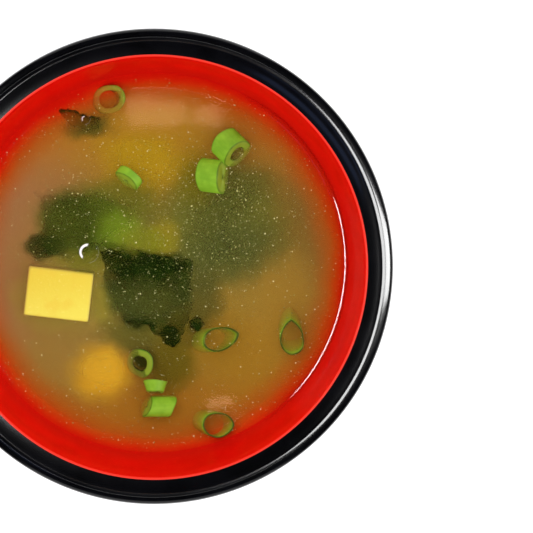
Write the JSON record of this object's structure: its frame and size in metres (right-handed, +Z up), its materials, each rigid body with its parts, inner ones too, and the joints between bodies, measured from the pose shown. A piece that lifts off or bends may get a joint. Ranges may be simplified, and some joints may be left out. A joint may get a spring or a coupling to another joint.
{
  "type": "bowl of miso soup",
  "caption": "Miso soup with tofu, wakame leaf and cut scallion in a round black bowl with a red inside, a broad rim and a foot ring.",
  "frame": {"origin": "centre of the foot ring, on the surface the bowl stands on", "axes": "+Z up out of the bowl; +X towards the side where the scallion rings lie, with the tofu cube on the -X side"},
  "size_m": [0.1202, 0.1202, 0.0618],
  "materials": {
    "bowl_black": "smooth black lacquer gloss on moulded melamine",
    "bowl_red": "smooth red lacquer gloss inside the bowl",
    "broth": "wet cloudy olive-brown broth, redder where it thins over the wall",
    "tofu": "soft wet bean curd, creamy yellow under the broth",
    "wakame": "wet dark green leaf",
    "scallion": "wet fresh green, paler on the cut faces",
    "bubble": "clear thin film of broth"
  },
  "bodies": {
    "root": {"bowl": "bowl_black", "soup": "broth", "tofu_cube": "tofu", "wakame_sheet": "wakame", "wakame_curl": "wakame", "wakame_scrap": "wakame", "scallion_a": "scallion", "scallion_b": "scallion", "scallion_c": "scallion", "scallion_d": "scallion", "scallion_e": "scallion", "scallion_f": "scallion", "scallion_g": "scallion", "scallion_h": "scallion", "scallion_i": "scallion", "scallion_j": "scallion"}
  },
  "joints": []
}
